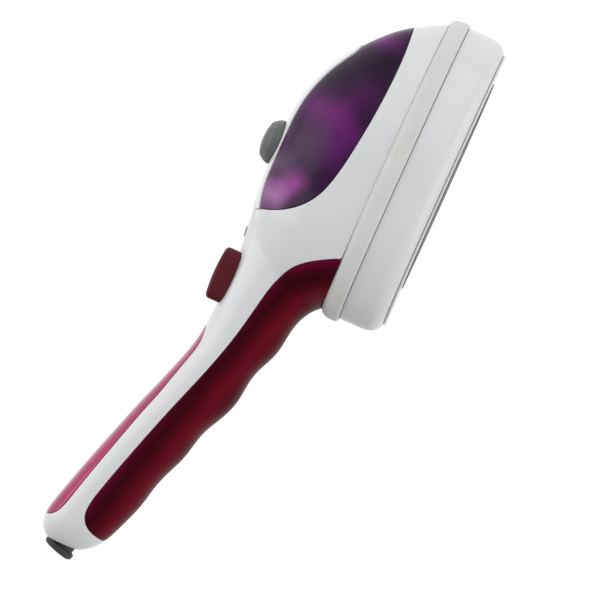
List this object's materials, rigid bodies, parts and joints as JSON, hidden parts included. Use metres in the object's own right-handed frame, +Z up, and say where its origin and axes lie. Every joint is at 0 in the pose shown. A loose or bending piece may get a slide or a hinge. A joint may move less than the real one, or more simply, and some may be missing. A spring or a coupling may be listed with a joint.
{
  "type": "garment steamer",
  "caption": "Hand-held garment steamer: an egg-shaped steam head with a flat soleplate and a clear water tank on top, on a sloping finger-grip handle with a push button.",
  "frame": {"origin": "centre of the soleplate's working face, in the plane that the steamer rests on", "axes": "+X towards the nose of the head, +Z up through the head to the water tank, handle running back along -X"},
  "size_m": [0.3067, 0.0754, 0.1097],
  "materials": {
    "body_white": "glossy moulded ABS",
    "grip_red": "pearl satin dark red",
    "inlay_magenta": "glossy metallic magenta red",
    "tank_purple": "tinted clear plastic",
    "collar_ivory": "speckled ivory silicone",
    "plug_grey": "soft matt silicone",
    "button_maroon": "fine matt texture",
    "lens_red": "clear red lens",
    "plate_metal": "dark anodised",
    "cast_alloy": "as cast",
    "steel": "zinc plated",
    "brass": "machined",
    "inner_plastic": "moulded nylon",
    "natural_plastic": "moulded acetal",
    "silicone_clear": "translucent silicone",
    "seal_red": "moulded silicone",
    "lamp_glass": "neon lamp",
    "wire_sleeve": "silicone insulated",
    "gland_rubber": "moulded rubber"
  },
  "bodies": {
    "housing": {"left_shell": "body_white", "right_shell": "body_white", "grip": "grip_red", "handle_inlay": "inlay_magenta", "spine_cover": "body_white", "water_tank": "tank_purple", "pump_cylinder": "natural_plastic", "pump_guide": "natural_plastic", "pump_spring": "steel", "inlet_valve_ball": "steel", "outlet_valve_ball": "steel", "pump_screws": "steel", "indicator_lens": "lens_red", "indicator_lamp": "lamp_glass", "collar": "collar_ivory", "collar_screws": "steel", "head_cover": "body_white", "sole_frame": "body_white", "soleplate": "plate_metal", "heater_casting": "cast_alloy", "heating_element": "steel", "heater_screws": "steel", "chamber_gasket": "seal_red", "chamber_cover": "cast_alloy", "chamber_screws": "steel", "screw_spacers": "steel", "inlet_nozzle": "brass", "thermostat": "inner_plastic", "thermal_fuse": "steel", "fuse_clip": "steel", "heat_shield": "inner_plastic", "suction_tube": "silicone_clear", "delivery_tube": "silicone_clear", "cord_gland": "gland_rubber", "cord_clamp": "inner_plastic", "clamp_screws": "steel", "terminal_block": "natural_plastic", "terminal_screws": "brass", "lead_wires": "wire_sleeve", "housing_screws": "steel"},
    "steam_button": {"steam_button": "button_maroon", "pump_plunger": "natural_plastic", "piston_ring": "gland_rubber"},
    "filler_plug": {"filler_plug": "plug_grey", "filler_seal": "seal_red"}
  },
  "joints": [
    {"name": "steam_button_press", "type": "slide", "parent": "housing", "child": "steam_button", "axis": [0, 0, -1], "range_m": [0, 0.005], "stiffness_N_per_m": 600, "springref_m": -0.003, "deforming": ["pump_spring"]},
    {"name": "filler_plug_lift", "type": "slide", "parent": "housing", "child": "filler_plug", "axis": [0, 0, 1], "range_m": [0, 0.02]}
  ]
}
